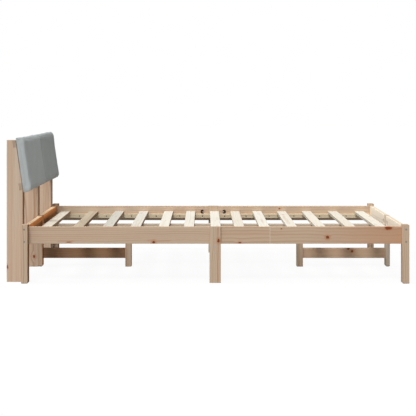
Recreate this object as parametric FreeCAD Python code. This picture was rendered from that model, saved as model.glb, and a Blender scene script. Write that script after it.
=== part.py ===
import FreeCAD, Part
import math
import os

V = FreeCAD.Vector

# Mattress that the frame takes, and the play round it
mattress_length = 2000.0
mattress_width = 1200.0
mattress_play = 7.0

# Corner legs
leg_height = 310.0
leg_thickness = 35.0
leg_depth = 60.0
leg_foot_radius = 4.0

# Rails round the mattress, every one in two halves
rail_thickness = 24.0
rail_height = 90.0
rail_drop = 13.0

# Middle legs, between the two halves of the side rails
middle_leg_width = 60.0
middle_leg_thickness = 35.0

# Slats and the battens that they lie on
slat_width = 57.0
slat_thickness = 17.0
slat_end_play = 1.0
slat_seat_drop = 49.0
ledger_size = 25.0
slat_place_shares = (-0.9387, -0.7610, -0.5965, -0.4410, -0.2833, -0.1426, 0.0070,
                     0.1377, 0.2783, 0.4329, 0.5915, 0.7591, 0.9287)
ledger_joint_shares = (-1.0, -0.3333, 0.3333, 1.0)
ledger_names = ("head", "middle", "foot")

# Centre support below the slats
centre_beam_thickness = 35.0
centre_leg_width = 60.0
centre_leg_foot_radius = 8.0
centre_post_thickness = 35.0
centre_post_place_share = 0.5
cross_beam_thickness = 35.0
cross_beam_height = 60.0
stretcher_height = 58.0
stretcher_rise = 48.0
stretcher_thickness = 25.0

# Headboard: three upright fins, two battens and two cushions
fin_depth = 86.0
fin_thickness = 60.0
fin_height = 757.0
fin_top_depth = 47.0
fin_slant_start = 491.0
headboard_batten_width = 38.0
headboard_batten_thickness = 18.0
cushion_thickness = 38.0
cushion_crown = 3.0
cushion_drop = 15.0
cushion_rise = 12.0
cushion_side_draw = 2.0
cushion_front_radius = 13.0
cushion_back_radius = 6.0
cushion_end_round = 16.0

# Fasteners
leg_screw_radius = 3.5
leg_screw_head_radius = 5.5
leg_screw_head_height = 5.0
leg_screw_bite = 42.0
cross_beam_screw_radius = 2.5
cross_beam_screw_head_radius = 5.0
cross_beam_screw_length = 75.0
wood_screw_radius = 2.0
wood_screw_head_radius = 4.0
wood_screw_length = 40.0
fin_bolt_radius = 4.0
fin_bolt_head_radius = 6.5
fin_bolt_head_height = 6.0
fin_bolt_end_cover = 5.0
socket_radius_share = 0.55
socket_depth_share = 0.6
rod_radius = 3.0
rod_end = 3.0
rod_nut_radius = 5.8
rod_nut_thickness = 5.0
pocket_radius = 13.0
pocket_floor = 5.0
pocket_setback = 39.0
washer_height = 7.0
washer_width = 13.0
dowel_radius = 4.0
dowel_length = 35.0
dowel_bite = 15.0

# Heights of the fixings, as shares of the rail height below its top
leg_screw_shares = (0.122, 0.844)
corner_screw_shares = (0.25, 0.60)
fin_bolt_shares = (0.25, 0.75)
rail_rod_share = 0.40
rail_dowel_share = 0.76
beam_dowel_share = 0.78

# Other places of the fixings
leg_screw_place_share = 0.70
beam_dowel_offset = 10.0
post_dowel_offset = 9.0
stretcher_dowel_shares = (0.20, 0.44)
cross_beam_screw_shares = (0.27, 0.78)

# Clearances and small roundings
edge_ease = 1.5
fit_clearance = 0.1
rod_clearance = 0.5
soft_clearance = 0.3
overrun = 1.0

# Sizes that follow from the ones above
inner_length = mattress_length + mattress_play
inner_width = mattress_width + mattress_play
bed_length = inner_length + rail_thickness * 2
bed_width = inner_width + leg_depth * 2
bed_middle = bed_length / 2
half_width = bed_width / 2
half_inner_length = inner_length / 2
half_inner_width = inner_width / 2
half_middle_leg = middle_leg_width / 2
half_centre_leg = centre_leg_width / 2
middle_leg_face = half_inner_width + middle_leg_thickness
rail_top = leg_height - rail_drop
rail_bottom = rail_top - rail_height
slat_seat = rail_top - slat_seat_drop
slat_centres = [bed_middle + share * half_inner_length for share in slat_place_shares]
side_centre = half_inner_width + rail_thickness / 2
slant_rise = fin_height - fin_slant_start
slant_angle = math.atan2(fin_depth - fin_top_depth, slant_rise)
slant_length = math.hypot(fin_depth - fin_top_depth, slant_rise)
cushion_height = cushion_drop + slant_length + cushion_rise
origin_shift = V((fin_depth - bed_length) / 2, 0, 0)

LENGTHWISE = V(1, 0, 0)
ACROSS = V(0, 1, 0)
UPRIGHT = V(0, 0, 1)
DOWN = V(0, 0, -1)
SIDES = {"left": -1, "right": 1}
parallel_share = 0.99
full_turn_angle = 360
hexagon_side_count = 6


def rail_level(share):
    """Height above the floor of a place on the rails, by its share of the rail height below the top."""
    return rail_top - share * rail_height


def mirrored(side, low, high):
    """The range from low to high, measured outwards from the bed's middle line, on one side."""
    return (low, high) if side > 0 else (-high, -low)


def plain_box(x_range, y_range, z_range):
    corner = V(x_range[0], y_range[0], z_range[0])
    sizes = [high - low for low, high in (x_range, y_range, z_range)]
    return Part.makeBox(*sizes, corner)


def edges_along(shape, direction):
    """The straight edges of a shape that run along a direction."""
    straight = [edge for edge in shape.Edges if edge.Curve.TypeId == "Part::GeomLine"]
    return [edge for edge in straight if abs(edge.Curve.Direction.dot(direction)) > parallel_share]


def plank(x_range, y_range, z_range, grain):
    """A planed plank with the four edges along its grain eased."""
    box = plain_box(x_range, y_range, z_range)
    return box.makeFillet(edge_ease, edges_along(box, grain))


def upright_leg(x_range, y_range, top, foot_radius, rounded_places):
    """A leg with eased upright edges, and its foot rounded off at the given places along the bed."""
    leg = plank(x_range, y_range, (0, top), UPRIGHT)
    low_edges = [edge for edge in edges_along(leg, ACROSS) if edge.BoundBox.ZMax < foot_radius]
    foot_edges = [edge for edge in low_edges
                  if any(abs(edge.BoundBox.Center.x - place) < foot_radius for place in rounded_places)]
    return leg.makeFillet(foot_radius, foot_edges)


def drilled(shape, cutters):
    """The shape with every hole, pocket or notch that reaches it cut out."""
    reaching = [cutter for cutter in cutters if cutter.BoundBox.intersect(shape.BoundBox)]
    if not reaching:
        return shape
    return shape.cut(reaching).Solids[0]


def turned_profile(points):
    """A solid turned about the upright axis from an outline of (radius, height) points."""
    wire = Part.makePolygon([V(radius, 0, height) for radius, height in points + points[:1]])
    return Part.Face(wire).revolve(V(0, 0, 0), UPRIGHT, full_turn_angle)


def hexagon(radius, start, height, direction=UPRIGHT):
    """A six-sided bar from a start point along a direction."""
    step = math.radians(full_turn_angle / hexagon_side_count)
    turns = [step * corner for corner in range(hexagon_side_count + 1)]
    outline = Part.makePolygon([V(radius * math.cos(turn), radius * math.sin(turn), 0) for turn in turns])
    bar = Part.Face(outline).extrude(UPRIGHT * height)
    bar.Placement = FreeCAD.Placement(start, FreeCAD.Rotation(UPRIGHT, direction))
    return bar


def countersunk_screw(shank, head, length):
    """A flat-headed screw that points down, with its head's top at the origin."""
    head_height = head - shank
    tip = -length + shank
    outline = [(0, 0), (head, 0), (shank, -head_height), (shank, tip), (0, -length)]
    socket = hexagon(shank * socket_radius_share, V(0, 0, -head_height * socket_depth_share), length)
    return turned_profile(outline).cut(socket)


def countersunk_hole(shank, head, length):
    """The hole for a flat-headed screw, with the fit's clearance on every side."""
    shank_hole = shank + fit_clearance
    head_hole = head + fit_clearance
    cone_foot = shank_hole - head_hole
    outline = [(0, overrun), (head_hole, overrun), (head_hole, 0), (shank_hole, cone_foot),
               (shank_hole, -length - fit_clearance), (0, -length - fit_clearance)]
    return turned_profile(outline)


def capped_bolt(shank, head, head_height, length):
    """A cap-headed bolt that points down, with its head's top at the origin."""
    outline = [(0, 0), (head, 0), (head, -head_height), (shank, -head_height), (shank, -length), (0, -length)]
    socket = hexagon(head * socket_radius_share, V(0, 0, -head_height * socket_depth_share), length)
    return turned_profile(outline).cut(socket)


def capped_hole(shank, head, head_height, length):
    """The stepped hole for a cap-headed bolt."""
    shank_hole = shank + fit_clearance
    head_hole = head + fit_clearance
    outline = [(0, overrun), (head_hole, overrun), (head_hole, -head_height), (shank_hole, -head_height),
               (shank_hole, -length - fit_clearance), (0, -length - fit_clearance)]
    return turned_profile(outline)


def placed(master, places):
    """A copy of the master for each (point, direction), turned from down to that direction."""
    copies = []
    for point, direction in places:
        copy = master.copy()
        copy.Placement = FreeCAD.Placement(point, FreeCAD.Rotation(DOWN, direction))
        copies.append(copy)
    return copies


# Where the fasteners sit: a point on the surface and the way that the fastener points
def leg_screw_places():
    """Two through the outer face of each corner leg, into the end grain of the cross rail."""
    inset = rail_thickness * leg_screw_place_share
    return [(V(x, side * half_width, rail_level(share)), ACROSS * -side)
            for x in (inset, bed_length - inset) for side in SIDES.values() for share in leg_screw_shares]


def corner_screw_places():
    """Two through the outer end face of each corner leg, into the end grain of the side rail."""
    ends = ((0, LENGTHWISE), (bed_length, LENGTHWISE * -1))
    return [(V(x, side * side_centre, rail_level(share)), direction)
            for x, direction in ends for side in SIDES.values() for share in corner_screw_shares]


def cross_beam_screw_places():
    """Two through the outer face of each middle leg, into the end of the cross beam."""
    return [(V(bed_middle, side * middle_leg_face, rail_bottom - share * cross_beam_height), ACROSS * -side)
            for side in SIDES.values() for share in cross_beam_screw_shares]


def slat_screw_places():
    """One at each end of a slat, into the ledger, and one in its middle, into the centre beam."""
    rows = (half_inner_width - ledger_size / 2, 0, ledger_size / 2 - half_inner_width)
    return [(V(x, y, slat_seat + slat_thickness), DOWN) for x in slat_centres for y in rows]


def ledger_screw_places():
    """Screws through the ledgers into the side rails, between the slats."""
    pairs = list(zip(slat_centres, slat_centres[1:]))
    middles = [(first + second) / 2 for first, second in pairs]
    return [(V(x, side * (half_inner_width - ledger_size), slat_seat - ledger_size / 2), ACROSS * side)
            for x in middles for side in SIDES.values()]


def slanted(along, out, y):
    """A point given along the fins' slanted edge, out from it, and across the bed."""
    x = out * math.cos(slant_angle) - along * math.sin(slant_angle)
    z = fin_slant_start + along * math.cos(slant_angle) + out * math.sin(slant_angle)
    return V(x, y, z)


def fin_centres():
    outer = half_inner_width - fin_thickness / 2
    return {"left": -outer, "centre": 0, "right": outer}


def headboard_screw_places():
    """One through each headboard batten into each fin."""
    inwards = slanted(0, 0, 0) - slanted(0, headboard_batten_thickness, 0)
    inwards.normalize()
    levels = (headboard_batten_width / 2, slant_length - headboard_batten_width / 2)
    return [(slanted(level, 0, y), inwards) for level in levels for y in fin_centres().values()]


def fin_bolt_places():
    """Two from the back of each fin into the cross rail or the centre leg in front of it."""
    return [(V(-fin_depth, y, rail_level(share)), LENGTHWISE)
            for y in fin_centres().values() for share in fin_bolt_shares]


def dowel_places():
    """Start points and directions of the dowels, each starting inside the first of its two pieces."""
    back = dowel_length - dowel_bite
    dowel_level = rail_level(rail_dowel_share)
    places = []
    for x in (rail_thickness / 2, bed_length - rail_thickness / 2):
        for side in SIDES.values():
            outer_start = half_inner_width + dowel_bite
            places.append((V(x, side * outer_start, dowel_level), ACROSS * -side))
            inner_start = half_centre_leg - dowel_bite
            places.append((V(x, side * inner_start, dowel_level), ACROSS * side))
    for side in SIDES.values():
        y = side * side_centre
        for x, direction in side_rail_ends():
            places.append((V(x, y, dowel_level) - direction * dowel_bite, direction))
        level = rail_level(beam_dowel_share)
        places.append((V(rail_thickness - dowel_bite, side * beam_dowel_offset, level), LENGTHWISE))
        end_x = bed_length - rail_thickness + dowel_bite
        places.append((V(end_x, side * beam_dowel_offset, level), LENGTHWISE * -1))
        for x in post_centres():
            places.append((V(x, side * post_dowel_offset, rail_bottom - back), UPRIGHT))
        places.append((V(bed_middle + side * post_dowel_offset, 0, rail_bottom - back), UPRIGHT))
    for first, last in stretcher_ranges():
        for share in stretcher_dowel_shares:
            height = stretcher_rise + share * stretcher_height
            places.append((V(first - dowel_bite, 0, height), LENGTHWISE))
            places.append((V(last + dowel_bite, 0, height), LENGTHWISE * -1))
    return places


def dowel_rod(radius, extra):
    """A dowel, or its hole with some extra length at each end, that points down from the origin."""
    return Part.makeCylinder(radius, dowel_length + extra * 2, V(0, 0, extra), DOWN)


def post_centres():
    offset = half_inner_length * centre_post_place_share
    return (bed_middle - offset, bed_middle + offset)


def stretcher_ranges():
    """The lengthwise spans of the two low stretchers, from a centre leg to the nearest post."""
    head_post, foot_post = post_centres()
    half_post = centre_post_thickness / 2
    return ((rail_thickness, head_post - half_post), (foot_post + half_post, bed_length - rail_thickness))


# Where the rails end
def middle_leg_faces():
    """Where the halves of a side rail meet the middle leg, and the way from there into the half."""
    return ((bed_middle - half_middle_leg, LENGTHWISE * -1), (bed_middle + half_middle_leg, LENGTHWISE))


def side_rail_ends():
    """Both ends of both halves of a side rail, and the way from there into the half."""
    corners = ((leg_thickness, LENGTHWISE), (bed_length - leg_thickness, LENGTHWISE * -1))
    return corners + middle_leg_faces()


# Bolted rail ends: the rod ends in a round pocket, with a half-round washer and a nut on it
def bolted_ends():
    """Each bolted end: a point on its face, the way into the rail, and the way to the inside of the bed."""
    level = rail_level(rail_rod_share)
    ends = []
    for side in SIDES.values():
        for x, direction in middle_leg_faces():
            ends.append((V(x, side * side_centre, level), direction, ACROSS * -side))
        head_point = V(rail_thickness / 2, side * half_centre_leg, level)
        foot_point = V(bed_length - rail_thickness / 2, side * half_centre_leg, level)
        ends.append((head_point, ACROSS * side, LENGTHWISE))
        ends.append((foot_point, ACROSS * side, LENGTHWISE * -1))
    return ends


washer_face = pocket_setback - pocket_radius + washer_height
rod_reach = washer_face + rod_nut_thickness + rod_end


def at_bolted_ends(shape):
    """Copies of a shape drawn for a rail that runs lengthwise from the origin, one for every bolted end."""
    copies = []
    for point, direction, inside in bolted_ends():
        copy = shape.copy()
        copy.Placement = FreeCAD.Placement(point, FreeCAD.Rotation(direction, inside, UPRIGHT, "XYZ"))
        copies.append(copy)
    return copies


def rail_pocket(radius, low, high):
    """A cylinder round the pocket's axis, between two places across the rail."""
    return Part.makeCylinder(radius, high - low, V(pocket_setback, low, 0), ACROSS)


def end_washer():
    """The part of the pocket's round that lies towards the rail's end, with the rod's hole through it."""
    disc = rail_pocket(pocket_radius - fit_clearance, -washer_width / 2, washer_width / 2)
    keep = plain_box((0, washer_face), (-washer_width, washer_width), (-pocket_radius, pocket_radius))
    hole = Part.makeCylinder(rod_radius + fit_clearance, washer_face, V(0, 0, 0), LENGTHWISE)
    return disc.common(keep).cut(hole)


def end_nut():
    nut = hexagon(rod_nut_radius, V(washer_face, 0, 0), rod_nut_thickness, LENGTHWISE)
    hole = Part.makeCylinder(rod_radius, rod_reach, V(0, 0, 0), LENGTHWISE)
    return nut.cut(hole)


def joint_rods(radius, extra):
    """Rods through the middle legs and the centre legs, from pocket to pocket."""
    level = rail_level(rail_rod_share)
    middle_half = half_middle_leg + rod_reach + extra
    centre_half = half_centre_leg + rod_reach + extra
    rods = []
    for side in SIDES.values():
        start = V(bed_middle - middle_half, side * side_centre, level)
        rods.append(Part.makeCylinder(radius, middle_half * 2, start, LENGTHWISE))
    for x in (rail_thickness / 2, bed_length - rail_thickness / 2):
        rods.append(Part.makeCylinder(radius, centre_half * 2, V(x, -centre_half, level), ACROSS))
    return rods


# Wooden pieces
def corner_legs():
    ends = {"head": (0, leg_thickness), "foot": (bed_length - leg_thickness, bed_length)}
    legs = {}
    for side_name, side in SIDES.items():
        y_range = mirrored(side, half_inner_width, half_width)
        for end_name, x_range in ends.items():
            leg = upright_leg(x_range, y_range, leg_height, leg_foot_radius, x_range)
            legs[end_name + "_leg_" + side_name] = leg
    return legs


def middle_legs():
    legs = {}
    x_range = (bed_middle - half_middle_leg, bed_middle + half_middle_leg)
    for side_name, side in SIDES.items():
        y_range = mirrored(side, half_inner_width, middle_leg_face)
        legs["middle_leg_" + side_name] = plank(x_range, y_range, (0, rail_top), UPRIGHT)
    return legs


def centre_legs_and_posts():
    """The centre legs, rounded at the foot on the side of the posts, and the posts."""
    y_range = (-half_centre_leg, half_centre_leg)
    radius = centre_leg_foot_radius
    head_range = (0, rail_thickness)
    foot_range = (bed_length - rail_thickness, bed_length)
    pieces = {"centre_leg_head": upright_leg(head_range, y_range, rail_top, radius, head_range[1:]),
              "centre_leg_foot": upright_leg(foot_range, y_range, rail_top, radius, foot_range[:1])}
    for name, x in zip(("head", "foot"), post_centres()):
        x_range = (x - centre_post_thickness / 2, x + centre_post_thickness / 2)
        pieces["centre_post_" + name] = plank(x_range, y_range, (0, rail_bottom), UPRIGHT)
    return pieces


def rails():
    """The cross rails from the corner legs to the centre legs, and the side rails to the middle legs."""
    pieces = {}
    z_range = (rail_bottom, rail_top)
    ends = {"head": (0, rail_thickness), "foot": (bed_length - rail_thickness, bed_length)}
    for end_name, x_range in ends.items():
        for side_name, side in SIDES.items():
            y_range = mirrored(side, half_centre_leg, half_inner_width)
            pieces[end_name + "_rail_" + side_name] = plank(x_range, y_range, z_range, ACROSS)
    halves = {"head": (leg_thickness, bed_middle - half_middle_leg),
              "foot": (bed_middle + half_middle_leg, bed_length - leg_thickness)}
    for side_name, side in SIDES.items():
        for half_name, x_range in halves.items():
            y_range = mirrored(side, half_inner_width, half_inner_width + rail_thickness)
            pieces["side_rail_" + side_name + "_" + half_name] = plank(x_range, y_range, z_range, LENGTHWISE)
    return pieces


def ledgers():
    """Three square battens end to end along the inside of each side rail."""
    pieces = {}
    places = [bed_middle + share * half_inner_length for share in ledger_joint_shares]
    places[0] = rail_thickness
    places[-1] = bed_length - rail_thickness
    spans = list(zip(places, places[1:]))
    for side_name, side in SIDES.items():
        y_range = mirrored(side, half_inner_width - ledger_size, half_inner_width)
        for name, x_range in zip(ledger_names, spans):
            batten = plank(x_range, y_range, (slat_seat - ledger_size, slat_seat), LENGTHWISE)
            pieces["ledger_" + side_name + "_" + name] = batten
    return pieces


def centre_support():
    """The lengthwise beam in two halves, the cross beam under its joint, and the low stretchers."""
    pieces = {}
    y_range = (-centre_beam_thickness / 2, centre_beam_thickness / 2)
    z_range = (rail_bottom, slat_seat)
    spans = {"head": (rail_thickness, bed_middle), "foot": (bed_middle, bed_length - rail_thickness)}
    for name, x_range in spans.items():
        pieces["centre_beam_" + name] = plank(x_range, y_range, z_range, LENGTHWISE)
    x_range = (bed_middle - cross_beam_thickness / 2, bed_middle + cross_beam_thickness / 2)
    z_range = (rail_bottom - cross_beam_height, rail_bottom)
    pieces["middle_cross_beam"] = plank(x_range, (-half_inner_width, half_inner_width), z_range, ACROSS)
    y_range = (-stretcher_thickness / 2, stretcher_thickness / 2)
    z_range = (stretcher_rise, stretcher_rise + stretcher_height)
    for name, x_range in zip(("head", "foot"), stretcher_ranges()):
        pieces["low_stretcher_" + name] = plank(x_range, y_range, z_range, LENGTHWISE)
    return pieces


def slats():
    reach = half_inner_width - slat_end_play
    pieces = {}
    for number, x in enumerate(slat_centres, start=1):
        x_range = (x - slat_width / 2, x + slat_width / 2)
        z_range = (slat_seat, slat_seat + slat_thickness)
        pieces["slat_%02d" % number] = plank(x_range, (-reach, reach), z_range, ACROSS)
    return pieces


def headboard_batten(low):
    """A batten let into the slanted edges of the fins, over the whole width of the headboard."""
    high = low + headboard_batten_width
    corners = [(low, 0), (high, 0), (high, -headboard_batten_thickness), (low, -headboard_batten_thickness)]
    points = [slanted(along, out, -half_inner_width) for along, out in corners + corners[:1]]
    return Part.Face(Part.makePolygon(points)).extrude(ACROSS * inner_width)


def fins(notches):
    """Three fins whose upper front edges lean back, notched for the two battens."""
    outline = [V(-fin_depth, 0, 0), V(0, 0, 0), V(0, 0, fin_slant_start),
               V(fin_top_depth - fin_depth, 0, fin_height), V(-fin_depth, 0, fin_height)]
    face = Part.Face(Part.makePolygon(outline + outline[:1]))
    pieces = {}
    for name, y in fin_centres().items():
        fin = face.extrude(ACROSS * fin_thickness)
        fin = fin.makeFillet(edge_ease, edges_along(fin, UPRIGHT))
        fin.translate(V(0, y - fin_thickness / 2, 0))
        pieces["headboard_fin_" + name] = drilled(fin, notches)
    return pieces


# Cushions: a section on the slant, repeated across the width, with rounded ends and edges drawn in between
cushion_end_shares = (0.0, 0.12, 0.35, 0.70, 1.0)
cushion_middle_shares = (0.1, 0.2, 0.35, 0.5, 0.65, 0.8, 0.9)


def cushion_section(y, inset, draw):
    """A closed outline of lines and arcs: flat back, crowned front and rounded corners."""
    low = inset + draw - cushion_drop
    high = cushion_height - cushion_drop - inset - draw
    back = soft_clearance
    shoulder = back + cushion_thickness - cushion_crown - inset
    crest = shoulder + cushion_crown
    corner_share = 1 - math.sqrt(0.5)

    def point(along, out):
        return slanted(along, out, y)

    def corner(start, middle, end):
        return Part.Arc(point(*start), point(*middle), point(*end)).toShape()

    def line(start, end):
        return Part.makeLine(point(*start), point(*end))

    rear = cushion_back_radius
    front = cushion_front_radius
    rear_cut = rear * corner_share
    front_cut = front * corner_share
    edges = [
        line((low + rear, back), (high - rear, back)),
        corner((high - rear, back), (high - rear_cut, back + rear_cut), (high, back + rear)),
        line((high, back + rear), (high, shoulder - front)),
        corner((high, shoulder - front), (high - front_cut, shoulder - front_cut), (high - front, shoulder)),
        corner((high - front, shoulder), ((low + high) / 2, crest), (low + front, shoulder)),
        corner((low + front, shoulder), (low + front_cut, shoulder - front_cut), (low, shoulder - front)),
        line((low, shoulder - front), (low, back + rear)),
        corner((low, back + rear), (low + rear_cut, back + rear_cut), (low + rear, back)),
    ]
    return Part.Wire(edges)


def cushion(side):
    """One padded cushion, half the headboard wide."""
    inner = soft_clearance / 2
    width = half_inner_width - inner
    stations = []
    for share in cushion_end_shares:
        inset = cushion_end_round * (1 - math.sqrt(1 - (1 - share) ** 2)) / 2
        stations.append((inner + share * cushion_end_round, inset, 0))
        stations.append((half_inner_width - share * cushion_end_round, inset, 0))
    for share in cushion_middle_shares:
        draw = cushion_side_draw * math.sin(math.pi * share)
        stations.append((inner + share * width, 0, draw))
    wires = [cushion_section(side * y, inset, draw) for y, inset, draw in sorted(stations)]
    return Part.makeLoft(wires, True, True)


# Fasteners and their holes
leg_screw_length = leg_depth + leg_screw_bite
fin_bolt_length = fin_depth + rail_thickness - fin_bolt_end_cover
leg_screw_sizes = (leg_screw_radius, leg_screw_head_radius, leg_screw_head_height, leg_screw_length)
fin_bolt_sizes = (fin_bolt_radius, fin_bolt_head_radius, fin_bolt_head_height, fin_bolt_length)
corner_screw_length = leg_thickness + leg_screw_bite
corner_screw_sizes = (leg_screw_radius, leg_screw_head_radius, leg_screw_head_height, corner_screw_length)
cross_beam_screw_sizes = (cross_beam_screw_radius, cross_beam_screw_head_radius, cross_beam_screw_length)
wood_screw_sizes = (wood_screw_radius, wood_screw_head_radius, wood_screw_length)
batten_screw_places = ledger_screw_places() + headboard_screw_places()

groups = {
    "leg_screws": placed(capped_bolt(*leg_screw_sizes), leg_screw_places()),
    "fin_bolts": placed(capped_bolt(*fin_bolt_sizes), fin_bolt_places()),
    "corner_screws": placed(capped_bolt(*corner_screw_sizes), corner_screw_places()),
    "cross_beam_screws": placed(countersunk_screw(*cross_beam_screw_sizes), cross_beam_screw_places()),
    "slat_screws": placed(countersunk_screw(*wood_screw_sizes), slat_screw_places()),
    "batten_screws": placed(countersunk_screw(*wood_screw_sizes), batten_screw_places),
    "dowels": placed(dowel_rod(dowel_radius, 0), dowel_places()),
    "rail_joint_rods": joint_rods(rod_radius, 0),
    "rail_joint_washers": at_bolted_ends(end_washer()),
    "rail_joint_nuts": at_bolted_ends(end_nut()),
}

pocket = rail_pocket(pocket_radius, pocket_floor - rail_thickness / 2, rail_thickness / 2 + overrun)
holes = placed(capped_hole(*leg_screw_sizes), leg_screw_places())
holes += placed(capped_hole(*fin_bolt_sizes), fin_bolt_places())
holes += placed(capped_hole(*corner_screw_sizes), corner_screw_places())
holes += placed(countersunk_hole(*cross_beam_screw_sizes), cross_beam_screw_places())
holes += placed(countersunk_hole(*wood_screw_sizes), slat_screw_places() + batten_screw_places)
holes += placed(dowel_rod(dowel_radius + fit_clearance, fit_clearance), dowel_places())
holes += joint_rods(rod_radius + rod_clearance, rod_clearance)
holes += at_bolted_ends(pocket)

headboard_battens = {"headboard_batten_lower": headboard_batten(0),
                     "headboard_batten_upper": headboard_batten(slant_length - headboard_batten_width)}
wooden = {}
for family in (corner_legs(), middle_legs(), centre_legs_and_posts(), rails(), ledgers(), centre_support(),
               slats(), fins(list(headboard_battens.values())), headboard_battens):
    wooden.update(family)

nodes = {name: drilled(shape, holes) for name, shape in wooden.items()}
nodes.update({"cushion_" + side_name: cushion(side) for side_name, side in SIDES.items()})
nodes.update({name: Part.makeCompound(solids) for name, solids in groups.items()})

# One file for each piece or group of fasteners, with the origin under the middle of the whole bed
os.makedirs("parts", exist_ok=True)
for name, shape in nodes.items():
    moved = shape.copy()
    moved.translate(origin_shift)
    moved.exportStep("parts/" + name + ".step")
print(len(nodes), "nodes,", sum(len(shape.Solids) for shape in nodes.values()), "solids")
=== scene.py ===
"""Looks of a low pine bed frame: boards with grain and knots, steel fixings and two padded cushions."""

import math
import random

import bmesh
import bpy
import numpy as np
from mathutils import Matrix, Vector, noise
from mathutils.bvhtree import BVHTree

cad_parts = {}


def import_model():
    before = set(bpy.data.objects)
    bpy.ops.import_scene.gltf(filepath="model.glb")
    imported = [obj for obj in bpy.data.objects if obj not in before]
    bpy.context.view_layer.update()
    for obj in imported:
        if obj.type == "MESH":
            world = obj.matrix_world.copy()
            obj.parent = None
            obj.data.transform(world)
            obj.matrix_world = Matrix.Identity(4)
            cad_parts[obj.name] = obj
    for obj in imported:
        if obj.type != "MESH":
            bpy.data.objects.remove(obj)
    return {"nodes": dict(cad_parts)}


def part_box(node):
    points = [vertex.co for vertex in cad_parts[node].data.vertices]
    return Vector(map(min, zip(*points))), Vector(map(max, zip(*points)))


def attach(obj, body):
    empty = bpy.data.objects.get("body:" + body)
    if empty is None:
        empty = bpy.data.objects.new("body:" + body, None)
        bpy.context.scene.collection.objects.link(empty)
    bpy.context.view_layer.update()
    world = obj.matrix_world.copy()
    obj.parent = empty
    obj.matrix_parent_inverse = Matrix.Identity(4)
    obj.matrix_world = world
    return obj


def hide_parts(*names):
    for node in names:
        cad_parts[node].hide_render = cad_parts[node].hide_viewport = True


bl_info = {
    "name": "Pine bed frame",
    "version": (1, 0, 0),
    "blender": (4, 5, 0),
    "location": "View3D > Sidebar > Bed",
    "description": "Finishes the boards and fixings of a bed frame and makes its headboard cushions",
    "category": "Object",
}

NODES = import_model()["nodes"]
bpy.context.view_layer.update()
SIDES = ("left", "right")


def linear(red, green, blue):
    """The linear values that a node's socket holds, of a colour in display values from 0 to 255."""
    def channel(value):
        share = value / 255
        return share / 12.92 if share <= 0.04045 else ((share + 0.055) / 1.055) ** 2.4
    return tuple(channel(value) for value in (red, green, blue))


# Settings
class BedPineSettings(bpy.types.PropertyGroup):
    early_wood: bpy.props.FloatVectorProperty(
        name="Early wood", description="Colour of the pale, soft part of a year's ring",
        subtype="COLOR", size=3, min=0, max=1, default=linear(204, 182, 158))
    late_wood: bpy.props.FloatVectorProperty(
        name="Late wood", description="Colour of the dark, hard part of a year's ring",
        subtype="COLOR", size=3, min=0, max=1, default=linear(158, 108, 76))
    knot_wood: bpy.props.FloatVectorProperty(
        name="Knot", description="Colour inside a knot",
        subtype="COLOR", size=3, min=0, max=1, default=linear(112, 56, 34))
    knot_amber: bpy.props.FloatVectorProperty(
        name="Amber knot", description="Colour of the long knots, cut along their own grain",
        subtype="COLOR", size=3, min=0, max=1, default=linear(142, 63, 27))
    knot_halo: bpy.props.FloatVectorProperty(
        name="Wood round a knot", description="Reddish colour of the resinous wood round a knot",
        subtype="COLOR", size=3, min=0, max=1, default=linear(190, 136, 100))
    slat_wood: bpy.props.FloatVectorProperty(
        name="Slat wood", description="Pale colour of the slats' sapwood",
        subtype="COLOR", size=3, min=0, max=1, default=linear(230, 225, 214))
    ring_spacing: bpy.props.FloatProperty(
        name="Ring spacing", description="Distance between two year rings",
        subtype="DISTANCE", unit="LENGTH", min=0.001, max=0.01, default=0.0034)


class BedCushionSettings(bpy.types.PropertyGroup):
    cover: bpy.props.FloatVectorProperty(
        name="Cover", description="Main colour of the woven cover",
        subtype="COLOR", size=3, min=0, max=1, default=linear(199, 205, 205))
    cover_shade: bpy.props.FloatVectorProperty(
        name="Cover's dark threads", description="Colour of the darker threads in the weave",
        subtype="COLOR", size=3, min=0, max=1, default=linear(173, 179, 180))
    thread: bpy.props.FloatVectorProperty(
        name="Sewing thread", description="Colour of the stitches along the seams",
        subtype="COLOR", size=3, min=0, max=1, default=linear(196, 202, 203))
    voxel: bpy.props.FloatProperty(
        name="Cloth grid", description="Size of the cloth's grid while it is blown up",
        subtype="DISTANCE", unit="LENGTH", min=0.003, max=0.01, default=0.0045)
    puff: bpy.props.FloatProperty(
        name="Puff", description="The furthest that a point of the cover moves outwards",
        subtype="DISTANCE", unit="LENGTH", min=0, max=0.02, default=0.0035)
    plump: bpy.props.FloatProperty(
        name="Plumpness", description="How far the cushion's front stands out past its plain solid",
        subtype="DISTANCE", unit="LENGTH", min=0, max=0.009, default=0.008)
    seam_depth: bpy.props.FloatProperty(
        name="Seam depth", description="Depth of the sewn seams round the cushion",
        subtype="DISTANCE", unit="LENGTH", min=0, max=0.005, default=0.0011)
    stitch_step: bpy.props.FloatProperty(
        name="Stitch step", description="Distance from one stitch to the next",
        subtype="DISTANCE", unit="LENGTH", min=0.002, max=0.02, default=0.006)
    stitch_length: bpy.props.FloatProperty(
        name="Stitch length", description="Length of the thread that shows in one stitch",
        subtype="DISTANCE", unit="LENGTH", min=0.001, max=0.01, default=0.004)
    thread_radius: bpy.props.FloatProperty(
        name="Thread radius", description="Radius of the sewing thread",
        subtype="DISTANCE", unit="LENGTH", min=0.0001, max=0.001, default=0.0004)


class BedSteelSettings(bpy.types.PropertyGroup):
    zinc: bpy.props.FloatVectorProperty(
        name="Zinc", description="Colour of the zinc-plated bolts, screws and washers",
        subtype="COLOR", size=3, min=0, max=1, default=linear(158, 150, 144))
    bronze: bpy.props.FloatVectorProperty(
        name="Wood screws", description="Colour of the dark wood screws",
        subtype="COLOR", size=3, min=0, max=1, default=linear(112, 94, 78))
    dowel: bpy.props.FloatVectorProperty(
        name="Dowel", description="Colour of the turned beech dowels",
        subtype="COLOR", size=3, min=0, max=1, default=linear(214, 182, 146))


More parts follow.
